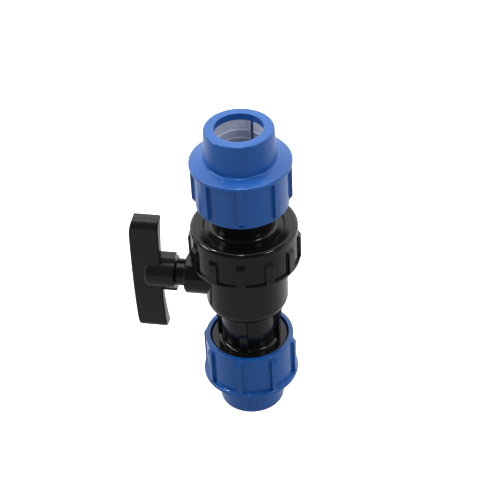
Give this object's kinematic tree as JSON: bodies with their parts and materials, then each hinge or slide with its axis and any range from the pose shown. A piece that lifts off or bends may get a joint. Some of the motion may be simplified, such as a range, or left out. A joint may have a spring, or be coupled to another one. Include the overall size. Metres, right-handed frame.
{
  "type": "ball valve",
  "caption": "Quarter-turn plastic ball valve with a lever handle, a compression nut for pipe at each end and a union nut above the body.",
  "frame": {"origin": "centre of the bottom compression nut's outer rim, on the flow axis", "axes": "+Z along the flow axis towards the union end; the stem lies along X with the handle towards -X; -Y is the side that the lever's tips are swept away from"},
  "size_m": [0.0761, 0.0494, 0.15],
  "materials": {
    "nut_blue": "moulded polypropylene, glossy blue",
    "body_black": "moulded polypropylene, glossy black",
    "union_black": "moulded polypropylene, glossy black",
    "handle_black": "moulded plastic, satin-gloss black",
    "grip_white": "moulded acetal, milky white",
    "bush_white": "moulded polypropylene, off-white",
    "seal_rubber": "moulded nitrile rubber",
    "seat_ptfe": "turned PTFE",
    "carrier_black": "moulded polypropylene",
    "ball_plastic": "polished plastic",
    "stem_plastic": "moulded acetal, black"
  },
  "bodies": {
    "valve_body": {"valve_body": "body_black", "seat_carrier": "carrier_black", "carrier_oring": "seal_rubber", "union_oring": "seal_rubber", "upper_ball_seat": "seat_ptfe", "lower_ball_seat": "seat_ptfe", "upper_seat_backing_ring": "seal_rubber", "lower_seat_backing_ring": "seal_rubber", "bottom_thrust_bush": "bush_white", "bottom_pipe_seal": "seal_rubber"},
    "handle": {"handle": "handle_black", "stem": "stem_plastic", "ball": "ball_plastic", "inner_stem_oring": "seal_rubber", "outer_stem_oring": "seal_rubber"},
    "tailpiece": {"union_tailpiece": "body_black", "top_thrust_bush": "bush_white", "top_pipe_seal": "seal_rubber"},
    "union_nut": {"union_nut": "union_black"},
    "top_grip_ring": {"top_grip_ring": "grip_white"},
    "top_compression_nut": {"top_compression_nut": "nut_blue"},
    "bottom_grip_ring": {"bottom_grip_ring": "grip_white"},
    "bottom_compression_nut": {"bottom_compression_nut": "nut_blue"}
  },
  "joints": [
    {"name": "handle_turn", "type": "hinge", "parent": "valve_body", "child": "handle", "pos_m": [0, 0, 0.07], "axis": [1, 0, 0], "range_deg": [0, 90]},
    {"name": "union_lift", "type": "slide", "parent": "valve_body", "child": "tailpiece", "axis": [0, 0, 1], "range_m": [0, 0.0081]},
    {"name": "union_nut_turn", "type": "hinge", "parent": "tailpiece", "child": "union_nut", "pos_m": [0, 0, 0.09], "axis": [0, 0, 1], "range_deg": [0, 720]},
    {"name": "top_grip_shift", "type": "slide", "parent": "tailpiece", "child": "top_grip_ring", "axis": [0, 0, 1], "range_m": [0, 0.0121]},
    {"name": "top_nut_turn", "type": "hinge", "parent": "top_grip_ring", "child": "top_compression_nut", "pos_m": [0, 0, 0.13], "axis": [0, 0, 1], "range_deg": [0, 1080]},
    {"name": "bottom_grip_shift", "type": "slide", "parent": "valve_body", "child": "bottom_grip_ring", "axis": [0, 0, -1], "range_m": [0, 0.0121]},
    {"name": "bottom_nut_turn", "type": "hinge", "parent": "bottom_grip_ring", "child": "bottom_compression_nut", "pos_m": [0, 0, 0.02], "axis": [0, 0, -1], "range_deg": [0, 1080]}
  ],
  "couplings": [
    {"joint": "union_lift", "follows": "union_nut_turn", "m_per_rad": 0.00063662},
    {"joint": "top_grip_shift", "follows": "top_nut_turn", "m_per_rad": 0.00063662},
    {"joint": "bottom_grip_shift", "follows": "bottom_nut_turn", "m_per_rad": 0.00063662}
  ]
}
